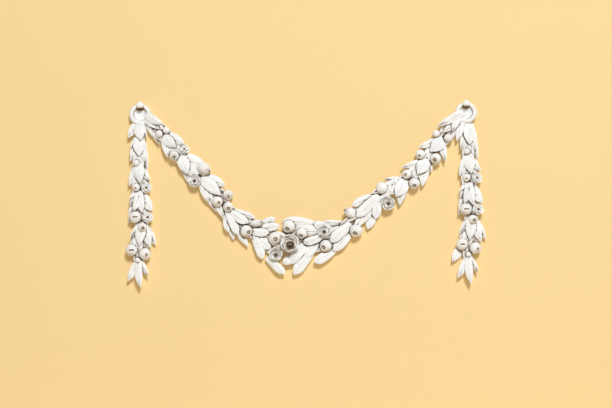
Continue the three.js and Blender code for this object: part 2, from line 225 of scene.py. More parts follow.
ring_paint = painted_plaster("ring paint", darkening_strength=0.8, patch_size=0.045)


def new_mesh(name, verts, faces, darkening=None):
    """A closed mesh with its faces turned outwards; the last argument says how much darker each point is
    painted.
    """
    mesh = bpy.data.meshes.new(name)
    mesh.from_pydata([tuple(v) for v in verts], [], [tuple(f) for f in faces])
    if darkening is not None:
        layer = mesh.attributes.new("darkening", "FLOAT", "POINT")
        layer.data.foreach_set("value", np.array(darkening, dtype=float))
    build = bmesh.new()
    build.from_mesh(mesh)
    bmesh.ops.recalc_face_normals(build, faces=build.faces)
    build.to_mesh(mesh)
    build.free()
    return mesh


def loop_skin(rings, first=None, last=None):
    """Points and faces of a closed skin over rings of points, with a point at each end."""
    around = len(rings[0])
    first = np.mean(rings[0], axis=0) if first is None else first
    last = np.mean(rings[-1], axis=0) if last is None else last
    points = np.vstack([[first], *rings, [last]])
    faces = []
    for k in range(around):
        step = (k + 1) % around
        faces.append((0, 1 + step, 1 + k))
        for ring in range(len(rings) - 1):
            a = 1 + ring * around
            faces.append((a + k, a + step, a + around + step, a + around + k))
        end = 1 + (len(rings) - 1) * around
        faces.append((end + k, end + step, len(points) - 1))
    return points, faces


def turned(name, profile, sides, x, z, darkening_within=0.0):
    """A form turned on an axis that stands on the wall, from a profile of radii and heights."""
    angles = np.arange(sides) * 2 * math.pi / sides
    rings = [
        np.column_stack([x + r * np.cos(angles), np.full(sides, -h), z + r * np.sin(angles)])
        for r, h in profile[1:-1]
    ]
    ends = [np.array([x, -profile[i][1], z]) for i in (0, -1)]
    points, faces = loop_skin(rings, *ends)
    reach = np.hypot(points[:, 0] - x, points[:, 2] - z)
    return new_mesh(name, points, faces, (reach < darkening_within).astype(float))


def ring_moulds(name, grow=0.0):
    """The ring and its knob as two closed forms, standing where the frame's ring stands."""
    low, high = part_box(name)
    x = (low[0] + high[0]) / 2
    z = low[2] + ring_diameter / 2
    tube = ring_tube / 2
    run = ring_diameter / 2 - tube
    axis = ring_height - tube
    shares = np.linspace(0, dish_share, dish_rows)
    dish = [(s * (run - tube), dish_height + s**3 * (axis - dish_height) + grow) for s in shares]
    turns = np.radians(np.linspace(196, 0, rim_rows))
    rim = [(run + (tube + grow) * math.cos(t), axis + (tube + grow) * math.sin(t)) for t in turns]
    outer = ring_diameter / 2 + grow - ring_edge_taper
    back = [(outer, 0.0), (outer, -back_allowance), (0, -back_allowance)]
    ring = turned(f"{name} rim", [*dish, *rim, *back], ring_sides, x, z)
    radius = knob_diameter / 2 + grow
    turns = np.radians(np.linspace(90, -50, knob_rows))
    crown = knob_height + grow
    head = [(radius * math.cos(t), crown - knob_flatness * radius * (1 - math.sin(t))) for t in turns]
    neck = knob_neck * radius
    foot = [(neck, 0.35 * knob_height), (neck, -back_allowance), (0, -back_allowance)]
    knob_profile = [*head, *foot]
    knob_z = z + ring_diameter / 2 - 0.3 * knob_diameter
    knob = turned(f"{name} knob", knob_profile, knob_sides, x, knob_z)
    # Painted shade and shadow: the underside of the knob, and the dish just below it, are marked darker
    # where the knob shades them.
    for mesh, share in ((ring, 0.95), (knob, 0.8)):
        spots = np.array([v.co for v in mesh.vertices])
        near = np.hypot(spots[:, 0] - x, spots[:, 2] - knob_z) / radius
        under = smooth((knob_z - spots[:, 2]) / radius, 0.25, 0.85)
        darkening = share * under * (1 - smooth(near, 1.2, 1.6))
        mesh.attributes["darkening"].data.foreach_set("value", darkening)
    return [ring, knob]


def casting_tree():
    """Joins all forms of a casting, cuts away what its neighbours and the wall take, and paints it."""
    tree = bpy.data.node_groups.new("one casting", "GeometryNodeTree")
    add_socket(tree, "Geometry", "NodeSocketGeometry")
    sockets = {
        "Forms": add_socket(tree, "Forms", "NodeSocketCollection"),
        "Moulds": add_socket(tree, "Moulds", "NodeSocketCollection"),
        "Neighbours": add_socket(tree, "Neighbours", "NodeSocketCollection"),
        "Paint": add_socket(tree, "Paint", "NodeSocketMaterial"),
    }
    add_socket(tree, "Geometry", "NodeSocketGeometry", "OUTPUT")
    link = tree.links.new
    given = shader_node(tree, "NodeGroupInput", (-1000, 0))
    out = shader_node(tree, "NodeGroupOutput", (900, 0))

    def held(name, place):
        node = shader_node(tree, "GeometryNodeCollectionInfo", place)
        node.inputs["Separate Children"].default_value = True
        link(given.outputs[name], node.inputs["Collection"])
        return node.outputs["Instances"]

    def field(name, kind, place):
        node = shader_node(tree, "GeometryNodeInputNamedAttribute", place, data_type=kind)
        node.inputs["Name"].default_value = name
        return node.outputs["Attribute"]

    nested = shader_node(tree, "GeometryNodeInstanceOnPoints", (-400, 200))
    nested.inputs["Pick Instance"].default_value = True
    link(given.outputs["Geometry"], nested.inputs["Points"])
    link(held("Moulds", (-700, 200)), nested.inputs["Instance"])
    link(field("mould", "INT", (-700, 50)), nested.inputs["Instance Index"])
    link(field("turn", "FLOAT_VECTOR", (-700, -100)), nested.inputs["Rotation"])
    link(field("size", "FLOAT_VECTOR", (-700, -250)), nested.inputs["Scale"])
    joined = shader_node(tree, "GeometryNodeMeshBoolean", (-100, 100), operation="UNION", solver="MANIFOLD")
    link(held("Forms", (-700, 400)), joined.inputs["Mesh 2"])
    link(nested.outputs["Instances"], joined.inputs["Mesh 2"])
    cut = shader_node(tree, "GeometryNodeMeshBoolean", (200, 0), operation="DIFFERENCE", solver="MANIFOLD")
    link(joined.outputs["Mesh"], cut.inputs["Mesh 1"])
    link(held("Neighbours", (-100, -200)), cut.inputs["Mesh 2"])
    real = shader_node(tree, "GeometryNodeRealizeInstances", (450, 0))
    link(cut.outputs["Mesh"], real.inputs["Geometry"])
    paint = shader_node(tree, "GeometryNodeSetMaterial", (650, 0))
    link(real.outputs["Geometry"], paint.inputs["Geometry"])
    link(given.outputs["Paint"], paint.inputs["Material"])
    link(paint.outputs["Geometry"], out.inputs["Geometry"])
    return tree, sockets


casting, casting_inputs = casting_tree()


def shelf(name, meshes):
    """Keeps meshes as objects in a collection that the scene doesn't show."""
    collection = bpy.data.collections.new(name)
    for index, mesh in enumerate(meshes):
        collection.objects.link(bpy.data.objects.new(f"{name} {index:03d}", mesh))
    return collection


def wall_block():
    """All that lies behind the wall plane y = 0, which is cut away from every casting."""
    side = wall_reach / 2
    corners = [(x, y, z) for x in (-side, side) for y in (0.0, wall_depth) for z in (-side, side)]
    faces = [(0, 1, 3, 2), (4, 6, 7, 5), (0, 4, 5, 1), (2, 3, 7, 6), (0, 2, 6, 4), (1, 5, 7, 3)]
    return new_mesh("wall block", corners, faces)


wall = wall_block()


def cast_piece(name, forms, nest, moulds, neighbours, paint):
    """Runs the casting tree on one piece's forms and returns the finished object."""
    places = bpy.data.meshes.new(f"{name} places")
    places.from_pydata([entry["place"] for entry in nest], [], [])
    for field, kind in (("turn", "FLOAT_VECTOR"), ("size", "FLOAT_VECTOR"), ("mould", "INT")):
        layer = places.attributes.new(field, kind, "POINT")
        key = "value" if kind == "INT" else "vector"
        layer.data.foreach_set(key, np.array([entry[field] for entry in nest]).ravel())
    draft = bpy.data.objects.new(f"{name} draft", places)
    bpy.context.scene.collection.objects.link(draft)
    run = draft.modifiers.new("casting", "NODES")
    run.node_group = casting
    run[casting_inputs["Forms"].identifier] = shelf(f"{name} forms", forms)
    run[casting_inputs["Moulds"].identifier] = moulds
    run[casting_inputs["Neighbours"].identifier] = shelf(f"{name} neighbours", [*neighbours, wall])
    run[casting_inputs["Paint"].identifier] = paint
    ready = draft.evaluated_get(bpy.context.evaluated_depsgraph_get())
    mesh = bpy.data.meshes.new_from_object(ready)
    mesh.name = name
    bpy.data.objects.remove(draft)
    piece = bpy.data.objects.new(name, mesh)
    bpy.context.scene.collection.objects.link(piece)
    return piece


occlusion_reach = 0.045
groove_reach = 0.011
occlusion_rays = 30
lowest_ray = 0.92
ray_start = 0.0005
hand_wave = 0.0007
hand_ripple = 0.00025
fold_depth = 0.0028
sharp_fold = math.radians(48)


def smooth(value, low, high):
    share = np.clip((value - low) / (high - low), 0, 1)
    return share * share * (3 - 2 * share)


def hand_worked(spots, normals):
    """Moves the face a little in and out, as hand modelling and many coats of paint leave it."""
    x, y, z = spots.T
    wave = np.sin(71 * x + 1.3 * np.sin(43 * z)) * np.sin(83 * z + 0.7 + 1.1 * np.sin(57 * x + 90 * y))
    ripple = np.sin(390 * x + 2 * np.sin(210 * z)) * np.sin(430 * z + 310 * y)
    move = hand_wave * wave + hand_ripple * ripple
    return spots + normals * (move * (y < -0.002))[:, None]


def settle_dirt_and_shade(piece):
    """Stores how shut in each point is, widely (crevice) and closely (groove), for dirt and painted shade,
    and cuts folds in.
    """
    mesh = piece.data
    count = len(mesh.vertices)
    spots = np.empty(count * 3)
    normals = np.empty(count * 3)
    mesh.vertices.foreach_get("co", spots)
    mesh.vertices.foreach_get("normal", normals)
    spots = spots.reshape(-1, 3)
    normals = normals.reshape(-1, 3)
    spots = hand_worked(spots, normals)
    mesh.vertices.foreach_set("co", spots.ravel())
    mesh.update()
    tree = BVHTree.FromPolygons(spots.tolist(), [tuple(p.vertices) for p in mesh.polygons])
    turn = math.pi * (3 - math.sqrt(5))
    fan = []
    for k in range(occlusion_rays):
        up = 1 - (k + 0.5) / occlusion_rays * lowest_ray
        flat = math.sqrt(1 - up * up)
        fan.append(Vector((flat * math.cos(k * turn), flat * math.sin(k * turn), up)))
    crevice = np.zeros(count)
    groove = np.zeros(count)
    skyward = Vector((0, 0, 1))
    for index, (spot, normal) in enumerate(zip(spots, normals)):
        if spot[1] > -ray_start:
            continue
        normal = Vector(normal)
        start = Vector(spot) + normal * ray_start
        lean = skyward.rotation_difference(normal)
        wide = close = 0.0
        for ray in fan:
            way = lean @ ray
            found = tree.ray_cast(start, way, occlusion_reach)[3]
            # A ray that would reach the wall behind counts as shut in: painted contact shade near the wall.
            if found is None and way.y > 0 and -start.y < way.y * occlusion_reach:
                found = -start.y / way.y
            if found is not None:
                wide += 1 - 0.5 * found / occlusion_reach
                close += found < groove_reach
        crevice[index] = wide / occlusion_rays
        groove[index] = close / occlusion_rays
    edges = np.empty(len(mesh.edges) * 2, dtype=int)
    mesh.edges.foreach_get("vertices", edges)
    a, b = edges.reshape(-1, 2).T
    shared = np.bincount(a, minlength=count) + np.bincount(b, minlength=count)
    for name, values in (("crevice", crevice), ("groove", groove)):
        near = np.bincount(a, values[b], count) + np.bincount(b, values[a], count)
        values = 0.5 * values + 0.5 * near / np.maximum(shared, 1)
        layer = mesh.attributes.get(name) or mesh.attributes.new(name, "FLOAT", "POINT")
        layer.data.foreach_set("value", values)
    cut_in = fold_depth * smooth(values, 0.2, 0.6) * (spots[:, 1] < -0.004)
    mesh.vertices.foreach_set("co", (spots - normals * cut_in[:, None]).ravel())
    mesh.update()


def finish_piece(piece, node):
    """Smooth shading but for sharp folds, settled dirt and painted shade, and the piece's place in the
    frame.
    """
    settle_dirt_and_shade(piece)
    piece.data.shade_smooth()
    piece.data.set_sharp_from_angle(angle=sharp_fold)
    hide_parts(node)
    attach(piece, "root")


no_moulds = shelf("no moulds", [])
for side in ("left", "right"):
    node = f"ring_{side}"
    ring = cast_piece(f"cast_{node}", ring_moulds(node), [], no_moulds, [], ring_paint)
    finish_piece(ring, node)


# The drops. Each is one casting of laurel sprays in tiers with fruit, berries and roses between them,
# modelled in clay and cast from one mould. The left one has a short extra tier under its ring, and the
# right one hangs a little longer and leans inwards.
leaf_length = 0.100
leaf_width = 0.055
leaf_lift = 0.017
layer_step = 0.010
rib_height = 0.008
berry_diameter = 0.040
fruit_diameter = 0.060
rose_diameter = 0.060
fruit_depth = 0.028
rose_height = 0.052
hero_diameter = 0.094
hero_height = 0.086
casting_gap = 0.0004
drop_stem_width = 0.040
drop_stem_height = 0.016

drop_paint = painted_plaster("drop paint", darkening_strength=0.9, patch_size=0.05)

# How a drop's leaves are cut: broad to the middle, so that a tier closes up into a flared sheath, and
# then drawn to a point.
drop_leaf_cut = {"broad": 1.2, "widest": 0.5, "bluntness": (1.3, 1.9)}
leaf_rows = 26
leaf_root_lap = 0.012
leaf_thickness = 0.005
leaf_bow = 0.05
leaf_twist = 0.14
rib_rise = 0.0014
groove_depth = 0.0018
flute_depth = 0.0012
vein_height = 0.0005
edge_wave = 0.0018
leaf_across = np.array([1, 0.94, 0.82, 0.68, 0.54, 0.4, 0.28, 0.2, 0.14, 0.07, 0])
leaf_across = np.concatenate([leaf_across, -leaf_across[-2::-1]])


def bump(value, middle, spread):
    return np.exp(-(((value - middle) / spread) ** 2))


def leaf(root, entry, seed, cut):
    """One laurel leaf: a rib between grooves, flutes, lifting edges, and a keel back to the wall."""
    heading, length, width, layer, right, up = (*entry, 0, 0)[:6]
    chance = random.Random(seed)
    reach = length * leaf_length
    half = width * leaf_width / 2 * cut["broad"]
    widest = cut["widest"]
    lift = leaf_lift + layer * layer_step
    bow = reach * chance.uniform(-leaf_bow, leaf_bow)
    twist = chance.uniform(-leaf_twist, leaf_twist)
    ripple = chance.uniform(0, 6.28)
    tip_curl = chance.uniform(-0.003, 0.005)
    bluntness = chance.uniform(*cut["bluntness"])
    angle = math.radians(heading)
    ahead = np.array([math.cos(angle), math.sin(angle)])
    across = np.array([-ahead[1], ahead[0]])
    start = np.array([root[0] + right * leaf_length, root[1] + up * leaf_length])
    start = start - ahead * leaf_root_lap
    reach += leaf_root_lap
    t = leaf_across
    off = np.abs(t)
    fluted = (off > 0.2) * (off < 0.95)
    veined = off > 0.2
    rings = []
    for s in np.linspace(0, 1, leaf_rows + 1)[1:-1]:
        swell = 0.7 + 0.3 * math.sin(min(1, s / widest) * math.pi / 2)
        taper = 1 - max(0.0, (s - widest) / (1 - widest)) ** bluntness
        side = half * swell * taper
        fade = float(smooth(s, 0, 0.2) * (1 - smooth(s, 0.84, 1)))
        curl = tip_curl * float(smooth(s, 0.6, 1))
        spine = lift * (0.6 + 0.42 * math.sin(min(1, s / 0.75) * math.pi / 2)) + curl
        crown = rib_height * 0.66 * (1 - off**2.4) * (0.35 + 0.65 * fade)
        rib = rib_rise * bump(t, 0, 0.055) - groove_depth * bump(off, 0.15, 0.07)
        flute = -flute_depth * (0.5 - 0.5 * np.cos(off * 15.5)) * fluted
        vein = vein_height * np.sin(2 * math.pi * (s * length * 9 - off * 1.3)) * veined
        wave = edge_wave * np.sin(2 * math.pi * 1.3 * s + ripple) * t * off
        top = spine + crown + (rib + flute + vein) * fade + (wave + twist * t * side) * fade
        thick = leaf_thickness * (1 - 0.4 * float(smooth(s, 0.7, 1)))
        keel = 1 - float(smooth(s, 0.62, 0.88))
        hollow = spine - thick
        foot = keel * -back_allowance + (1 - keel) * (hollow - 0.001)
        flank = 0.5 * hollow + 0.5 * foot
        under = ((-0.96, top[-1] - thick), (-0.6, flank), (-0.3, foot), (0.3, foot), (0.6, flank),
                 (0.96, top[0] - thick))
        sides = np.concatenate([t, [u for u, _ in under]]) * side
        heights = np.concatenate([top, [h for _, h in under]])
        middle = start + ahead * (s * reach) + across * (bow * math.sin(s * math.pi))
        flat = middle[None, :] + across[None, :] * sides[:, None]
        rings.append(np.column_stack([flat[:, 0], -heights, flat[:, 1]]))
    first = np.array([start[0], -lift * 0.3, start[1]])
    end = start + ahead * reach
    last = np.array([end[0], -(lift * 1.02 + tip_curl), end[1]])
    return new_mesh("leaf", *loop_skin(rings, first, last))


# Fruit are turned row by row from the end that looks out. Angles from that end are in degrees.
fruit_rows = 30
fruit_sides = 36


def fruit_mould(name, kind):
    """A fruit of unit radius that looks out along -Y, with an eye, pleats, a dimple or a slit there."""
    angles = np.arange(fruit_sides) * 2 * math.pi / fruit_sides
    rings = []
    darkening = [0.6]
    for turn in np.linspace(0, math.pi, fruit_rows + 1)[1:-1]:
        degrees = math.degrees(turn)
        radius = np.full(fruit_sides, 1.0)
        # The stain values mark the pits, pleats, slits and dimples darker.
        stain = np.zeros(fruit_sides)
        if kind == "eyed":
            radius += 0.06 * bump(degrees, 27, 5) - 0.03 * bump(degrees, 38, 5)
            radius += -0.26 * (1 - float(smooth(degrees, 13, 22))) + 0.20 * bump(degrees, 0, 8)
            stain += 1.1 * bump(degrees, 15, 6) + 0.35 * bump(degrees, 38, 5)
        if kind == "pleated":
            open_end = 1 - float(smooth(degrees, 25, 80))
            pleat = np.abs(np.cos(5 * angles)) ** 4
            radius += -0.13 * open_end * pleat + 0.05 * bump(degrees, 16, 6) - 0.16 * bump(degrees, 0, 9)
            stain += 0.8 * bump(degrees, 2, 9) + 0.85 * open_end * pleat
        if kind == "slit":
            along, above = math.sin(turn) * np.cos(angles), math.sin(turn) * np.sin(angles)
            slot = bump(above + 0.12 * along**2, 0.05, 0.11) * (1 - smooth(np.abs(along), 0.36, 0.56))
            radius -= 0.2 * slot * (turn < 1.2)
            stain += 1.1 * slot * (turn < 1.2)
        if kind == "dimpled":
            below = 0.5 - 0.5 * np.sin(angles)
            radius -= 0.18 * bump(degrees, 0, 13) + 0.03 * bump(degrees, 24, 7) * np.cos(2 * angles)
            stain += 1.3 * bump(degrees, 0, 13) + 0.45 * bump(degrees, 22, 10) * below
        if kind == "smooth":
            radius -= 0.05 * bump(degrees, 0, 12)
        radius *= 1 + 0.015 * np.cos(3 * angles + 1) * math.sin(turn)
        rings.append(np.column_stack([
            radius * math.sin(turn) * np.cos(angles),
            -radius * math.cos(turn),
            radius * math.sin(turn) * np.sin(angles),
        ]))
        darkening.extend(stain)
    darkening.append(0.0)
    pit = rings[0][:, 1].mean()
    return new_mesh(name, *loop_skin(rings, np.array([0, pit, 0]), np.array([0, 1.0, 0])), darkening)


def shell(front, back):
    """Points and faces of a thick curved sheet between two grids of points, closed all round."""
    rows, columns = front.shape[:2]
    points = np.concatenate([front.reshape(-1, 3), back.reshape(-1, 3)])
    count = rows * columns
    faces = []
    for r in range(rows - 1):
        for c in range(columns - 1):
            a = r * columns + c
            faces.append((a, a + 1, a + columns + 1, a + columns))
            faces.append((count + a, count + a + columns, count + a + columns + 1, count + a + 1))
    rim = [*range(columns), *[r * columns + columns - 1 for r in range(1, rows)]]
    rim += [(rows - 1) * columns + c for c in range(columns - 2, -1, -1)]
    rim += [r * columns for r in range(rows - 2, 0, -1)]
    for a, b in zip(rim, rim[1:] + rim[:1]):
        faces.append((a, count + a, count + b, b))
    return points, faces


# The petals of a rose, row by row from the heart out: how many, how far each spans to either side in
# radians, then radii of foot and rim, heights of foot and rim, and roll of the rim, as shares of the
# whole. The heart is painted darker, and the rims of the petals are kept clear of the dirt and painted
# shade of the folds.
rose_rows = {
    "hero": (
        (3, 1.20, 0.06, 0.15, 0.40, 0.82, 0.02),
        (3, 1.15, 0.20, 0.29, 0.40, 0.93, 0.08),
        (4, 1.00, 0.34, 0.45, 0.35, 1.00, 0.18),
        (4, 0.98, 0.46, 0.60, 0.25, 0.93, 0.20),
        (5, 0.90, 0.56, 0.74, 0.06, 0.80, 0.26),
    ),
    "rose": (
        (3, 1.20, 0.06, 0.15, 0.40, 0.88, 0.04),
        (4, 1.05, 0.25, 0.40, 0.35, 1.00, 0.22),
        (5, 0.92, 0.48, 0.70, 0.06, 0.84, 0.29),
    ),
}
petal_columns = 11
petal_points = 9
petal_thickness = 0.085
petal_swirl = 0.08
petal_corner = 0.15
rose_fill = 0.97
rose_tip = math.radians(-9)
usual_heart_drop = 0.2
heart_share = {"hero": 0.44, "rose": 0.30}
heart_blend = 0.12
heart_darkening = 1.1
petal_kept_clear = 0.34
kept_clear_radius = 0.047


def rose(root, entry, diameter, height, seed):
    """A full-blown rose whose face is tipped a little upwards, on a seat that runs to the wall."""
    kind, right, up, size, *rest = entry
    heart_drop = rest[0] if rest else usual_heart_drop
    radius = size * diameter / 2
    tall = height * rose_fill
    x = root[0] + right * leaf_length
    z = root[1] + up * leaf_length + 0.5 * height * math.sin(rose_tip)
    tip = np.array(Matrix.Rotation(rose_tip, 3, "X"))
    chance = random.Random(seed)
    u = np.linspace(-1, 1, petal_columns)[None, :]
    v = np.linspace(0, 1, petal_points)[:, None]
    roll = smooth(v, 0.45, 1)
    edge = np.abs(u) ** 3
    rows = rose_rows[kind]
    meshes = []
    for count, span, base, rim, low, high, curl in rows:
        phase = chance.uniform(0, 6.28)
        for k in range(count):
            turn = phase + k * 2 * math.pi / count + chance.uniform(-0.1, 0.1)
            top = high * chance.uniform(0.95, 1.0)
            angle = turn + u * span * (0.75 + 0.25 * np.sin(v * math.pi / 2))
            out = base + (rim - base) * v**1.2 + curl * roll * (1 - 0.6 * edge) + petal_swirl * u * v
            tallness = low + (top - low) * np.sin(v * math.pi / 2)
            tallness = tallness - 0.2 * curl * roll**2 - petal_corner * v * edge
            thick = petal_thickness * (1 - 0.6 * edge) * (1 - 0.3 * v)
            layers = []
            for offset in (0, 1):
                spread = np.maximum(out - offset * thick, 0.012)
                fall = tallness - offset * 0.02 * roll
                x_way, z_way = spread * np.cos(angle) * radius, spread * np.sin(angle) * radius
                layers.append(np.stack([x_way, -fall * tall, z_way], -1))
            points, faces = shell(*layers)
            reach = np.hypot(points[:, 0], points[:, 2]) / radius
            # The rims are kept clear of the dirt and painted shade of the folds; the heart is painted
            # darker.
            kept_clear = petal_kept_clear * (kept_clear_radius / radius) ** 1.3
            height_share = np.tile(np.broadcast_to(v, angle.shape).ravel(), 2)
            kept_clear = kept_clear * smooth(height_share, 0.25, 0.6)
            heart = np.clip((heart_share[kind] - reach) / heart_blend, 0, 1)
            darkening = heart * heart_darkening * (1 - 0.5 * smooth(height_share, 0.7, 1)) - kept_clear * (1 - heart)
            points[:, 2] -= heart_drop * radius * (1 - base / rows[-1][2])
            meshes.append(new_mesh("petal", points @ tip.T + np.array([x, 0, z]), faces, darkening))
    cup = [(0, 0.6 * height), (0.35 * radius, 0.6 * height), (0.6 * radius, 0.42 * height),
           (0.8 * radius, 0.2 * height), (0.8 * radius, -back_allowance), (0, -back_allowance)]
    cup_z = z - 0.3 * height * math.sin(rose_tip)
    # The middle of the cup is painted darker too.
    meshes.append(turned("rose cup", cup, 24, x, cup_z, darkening_within=0.4 * radius))
    return meshes


backing_lap = 0.1
backing_width = 0.75
backing_layer = -0.5
backing_from = 0.3


def backing_leaf(root, right, up, seed, cut):
    """The low leaf that carries a fruit or a rose, from the root of its spray to just under it."""
    run = math.hypot(right, up) + backing_lap
    heading = math.degrees(math.atan2(up, right))
    return leaf(root, (heading, run, backing_width, backing_layer), seed, cut)


def spline(points, steps):
    """A smooth line through the points, given as x and z, with its direction at each step."""
    points = np.array(points)
    ends = np.vstack([2 * points[0] - points[1], points, 2 * points[-1] - points[-2]])
    line = []
    for k in range(1, len(ends) - 2):
        a, b, c, d = ends[k - 1:k + 3]
        for t in np.linspace(0, 1, steps, endpoint=False):
            line.append(0.5 * (2 * b + (c - a) * t + (2 * a - 5 * b + 4 * c - d) * t**2
                               + (3 * b - a - 3 * c + d) * t**3))
    line.append(points[-1])
    line = np.array(line)
    ways = np.gradient(line, axis=0)
    return line, ways / np.linalg.norm(ways, axis=1)[:, None]


def stem(points, width, height):
    """A low rounded stem along the points, with its back run on behind the wall."""
    line, ways = spline(points, 6)
    arch = np.linspace(0, math.pi, 11)
    rings = []
    for spot, way in zip(line, ways):
        side = np.array([-way[1], way[0]])
        across = np.concatenate([np.cos(arch), [-1, 1]]) * width / 2
        out = np.concatenate([np.maximum(np.sin(arch), 0.15) * height, [-back_allowance, -back_allowance]])
        flat = spot[None, :] + side[None, :] * across[:, None]
        rings.append(np.column_stack([flat[:, 0], -out, flat[:, 1]]))
    return new_mesh("stem", *loop_skin(rings))


fruit_kinds = ("eyed", "pleated", "smooth", "slit", "dimpled")
fruit_moulds = shelf("fruit moulds", [fruit_mould(f"{kind} fruit", kind) for kind in fruit_kinds])
mould_of = {"berry": 2, "fruit": 0, "bud": 1, "pleated": 1, "slit": 3, "smooth": 2, "dimpled": 4}


# How far a fruit's open end is tipped away from the viewer, in degrees.
fruit_tilt = (14, 34)
bud_tilt = 62
slit_tilt = 7
bud_stretch = 1.2
fruit_flatness = 0.97


def nested_fruit(root, entry, seed):
    """Where one fruit lies, how it is turned, its size and the mould that it is pressed from."""
    kind, right, up, size, *rest = entry
    chance = random.Random(seed)
    heading = rest[0] if rest else chance.uniform(-150, -30)
    stretch = rest[1] if len(rest) > 1 else bud_stretch
    radius = size * (berry_diameter if kind == "berry" else fruit_diameter) / 2
    usual_tilt = chance.uniform(*fruit_tilt)
    tilt = math.radians({"bud": bud_tilt, "slit": slit_tilt}.get(kind, usual_tilt))
    angle = math.radians(heading)
    way = Vector((math.sin(tilt) * math.cos(angle), -math.cos(tilt), math.sin(tilt) * math.sin(angle)))
    spin = Quaternion(way, 0.0 if kind == "slit" else chance.uniform(0, 6.28))
    turn = (spin @ Vector((0, -1, 0)).rotation_difference(way)).to_euler()
    long = stretch if kind == "bud" else fruit_flatness
    place = (root[0] + right * leaf_length, -max(fruit_depth, radius * 0.8), root[1] + up * leaf_length)
    size = (radius, radius * long, radius)
    return {"place": place, "turn": tuple(turn), "size": size, "mould": mould_of[kind]}


def seat(root, entry):
    """The short boss that carries a fruit on the wall, narrower than the fruit."""
    kind, right, up, size = entry[:4]
    radius = size * (berry_diameter if kind == "berry" else fruit_diameter) / 2
    profile = [(0, fruit_depth), (0.5 * radius, fruit_depth), (0.8 * radius, fruit_depth * 0.6),
               (0.72 * radius, 0.2 * fruit_depth), (0.72 * radius, -back_allowance), (0, -back_allowance)]
    return turned("seat", profile, 20, root[0] + right * leaf_length, root[1] + up * leaf_length)


roses = {"rose": (rose_diameter, rose_height), "hero": (hero_diameter, hero_height)}
cover_spread = 9
cover_reach = 1.22
pair_seed = 50
rose_seed = 50
backing_seed = 40
fruit_seed = 80


def cover_leaves(root, ahead_root, layer, width, seed, cut, spread=cover_spread):
    """A pair of leaves that spread over the stem, from one spray's root to beyond the next one's."""
    run = np.array(ahead_root) - np.array(root)
    heading = math.degrees(math.atan2(run[1], run[0]))
    length = cover_reach * float(np.linalg.norm(run)) / leaf_length
    pair = ((heading - spread, seed), (heading + spread, seed + pair_seed))
    return [leaf(root, (turn, length, width, layer), own_seed, cut) for turn, own_seed in pair]


def spray_forms(root, spray, seed, cut):
    """All forms of one spray: closed meshes, and the fruit that is pressed from the moulds."""
    forms, nest = [], []
    for order, entry in enumerate((*spray["leaves"], *spray.get("filling", ()))):
        forms.append(leaf(root, entry, seed + order, cut))
    for order, entry in enumerate(spray["nest"]):
        if entry[0] in roses:
            diameter, height = roses[entry[0]]
            forms.extend(rose(root, entry, diameter, height, seed + rose_seed + order))
        else:
            nest.append(nested_fruit(root, entry, seed + fruit_seed + order))
            forms.append(seat(root, entry))
        if math.hypot(entry[1], entry[2]) > backing_from:
            forms.append(backing_leaf(root, entry[1], entry[2], seed + backing_seed + order, cut))
    return forms, nest


# Leaves are (heading, length, width, layer, right, up). The nest is (kind, right, up, size, heading),
# with lengths, widths and places as shares of the leaf and sizes as shares of each kind's diameter. A
# rose has no heading, but may say how far its heart hangs below its middle, as a share of its radius.
drop_tiers = (
    {"at": 0, "right": 0,
     "leaves": ((-124, 0.81, 0.6, 1), (-110, 1.34, 0.6, 1), (-91, 1, 0.9, 2), (-77, 1.31, 0.8, 1),
                (-77, 1.81, 0.6, 0)),
     "nest": (("berry", -0.15, -1.32, 0.85),)},
    {"at": 0.22, "right": -0.05,
     "leaves": ((-112, 1.22, 0.7, 1), (-82, 1, 0.9, 2), (-55, 1.1, 0.7, 1)),
     "nest": (("dimpled", -0.1, -1.19, 0.68), ("rose", 0.41, -1.22, 0.88))},
    {"at": 0.447, "right": 0,
     "leaves": ((-138, 0.68, 0.6, 1), (-124, 0.89, 0.6, 1), (-105, 1.08, 0.6, 2), (-81, 1.09, 0.7, 2),
                (-56, 1.2, 0.9, 1), (-109, 1.68, 0.6, 0)),
     "nest": (("slit", -0.19, -1.27, 1.02), ("rose", 0.43, -1.3, 0.9), ("fruit", 0.16, -1.8, 0.82))},
    {"at": 0.699, "right": 0.1, "cover_spread": 3,
     "leaves": ((-124, 1, 0.45, 1), (-94, 1.2, 0.8, 2), (-70, 1.39, 0.85, 1), (-57, 1.36, 0.7, 0)),
     "right_only": ((-124, 0.86, 0.7, 0, -0.48, -1.55),),
     "nest": (("slit", -0.47, -1.37, 0.98), ("dimpled", 0.19, -1.56, 0.98, -20),
              ("berry", -0.16, -1.87, 0.7))},
    {"at": 1, "right": -0.03,
     "leaves": ((-117, 1.21, 0.62, 1), (-85, 1.39, 0.62, 2), (-59, 0.96, 0.5, 1)),
     "nest": ()},
)
left_top_tier = {"at": -0.122, "right": 0,
                 "leaves": ((-125, 1, 0.7, 1), (-84, 1, 0.9, 2), (-65, 0.87, 0.6, 1)), "nest": ()}


drop_seed = 207
drop_cover = (0.7, 0.66)
drop_cover_seed = 900
stem_end = 0.020


def ring_centre(side):
    low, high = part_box(f"ring_{side}")
    return (low[0] + high[0]) / 2, low[2] + ring_diameter / 2


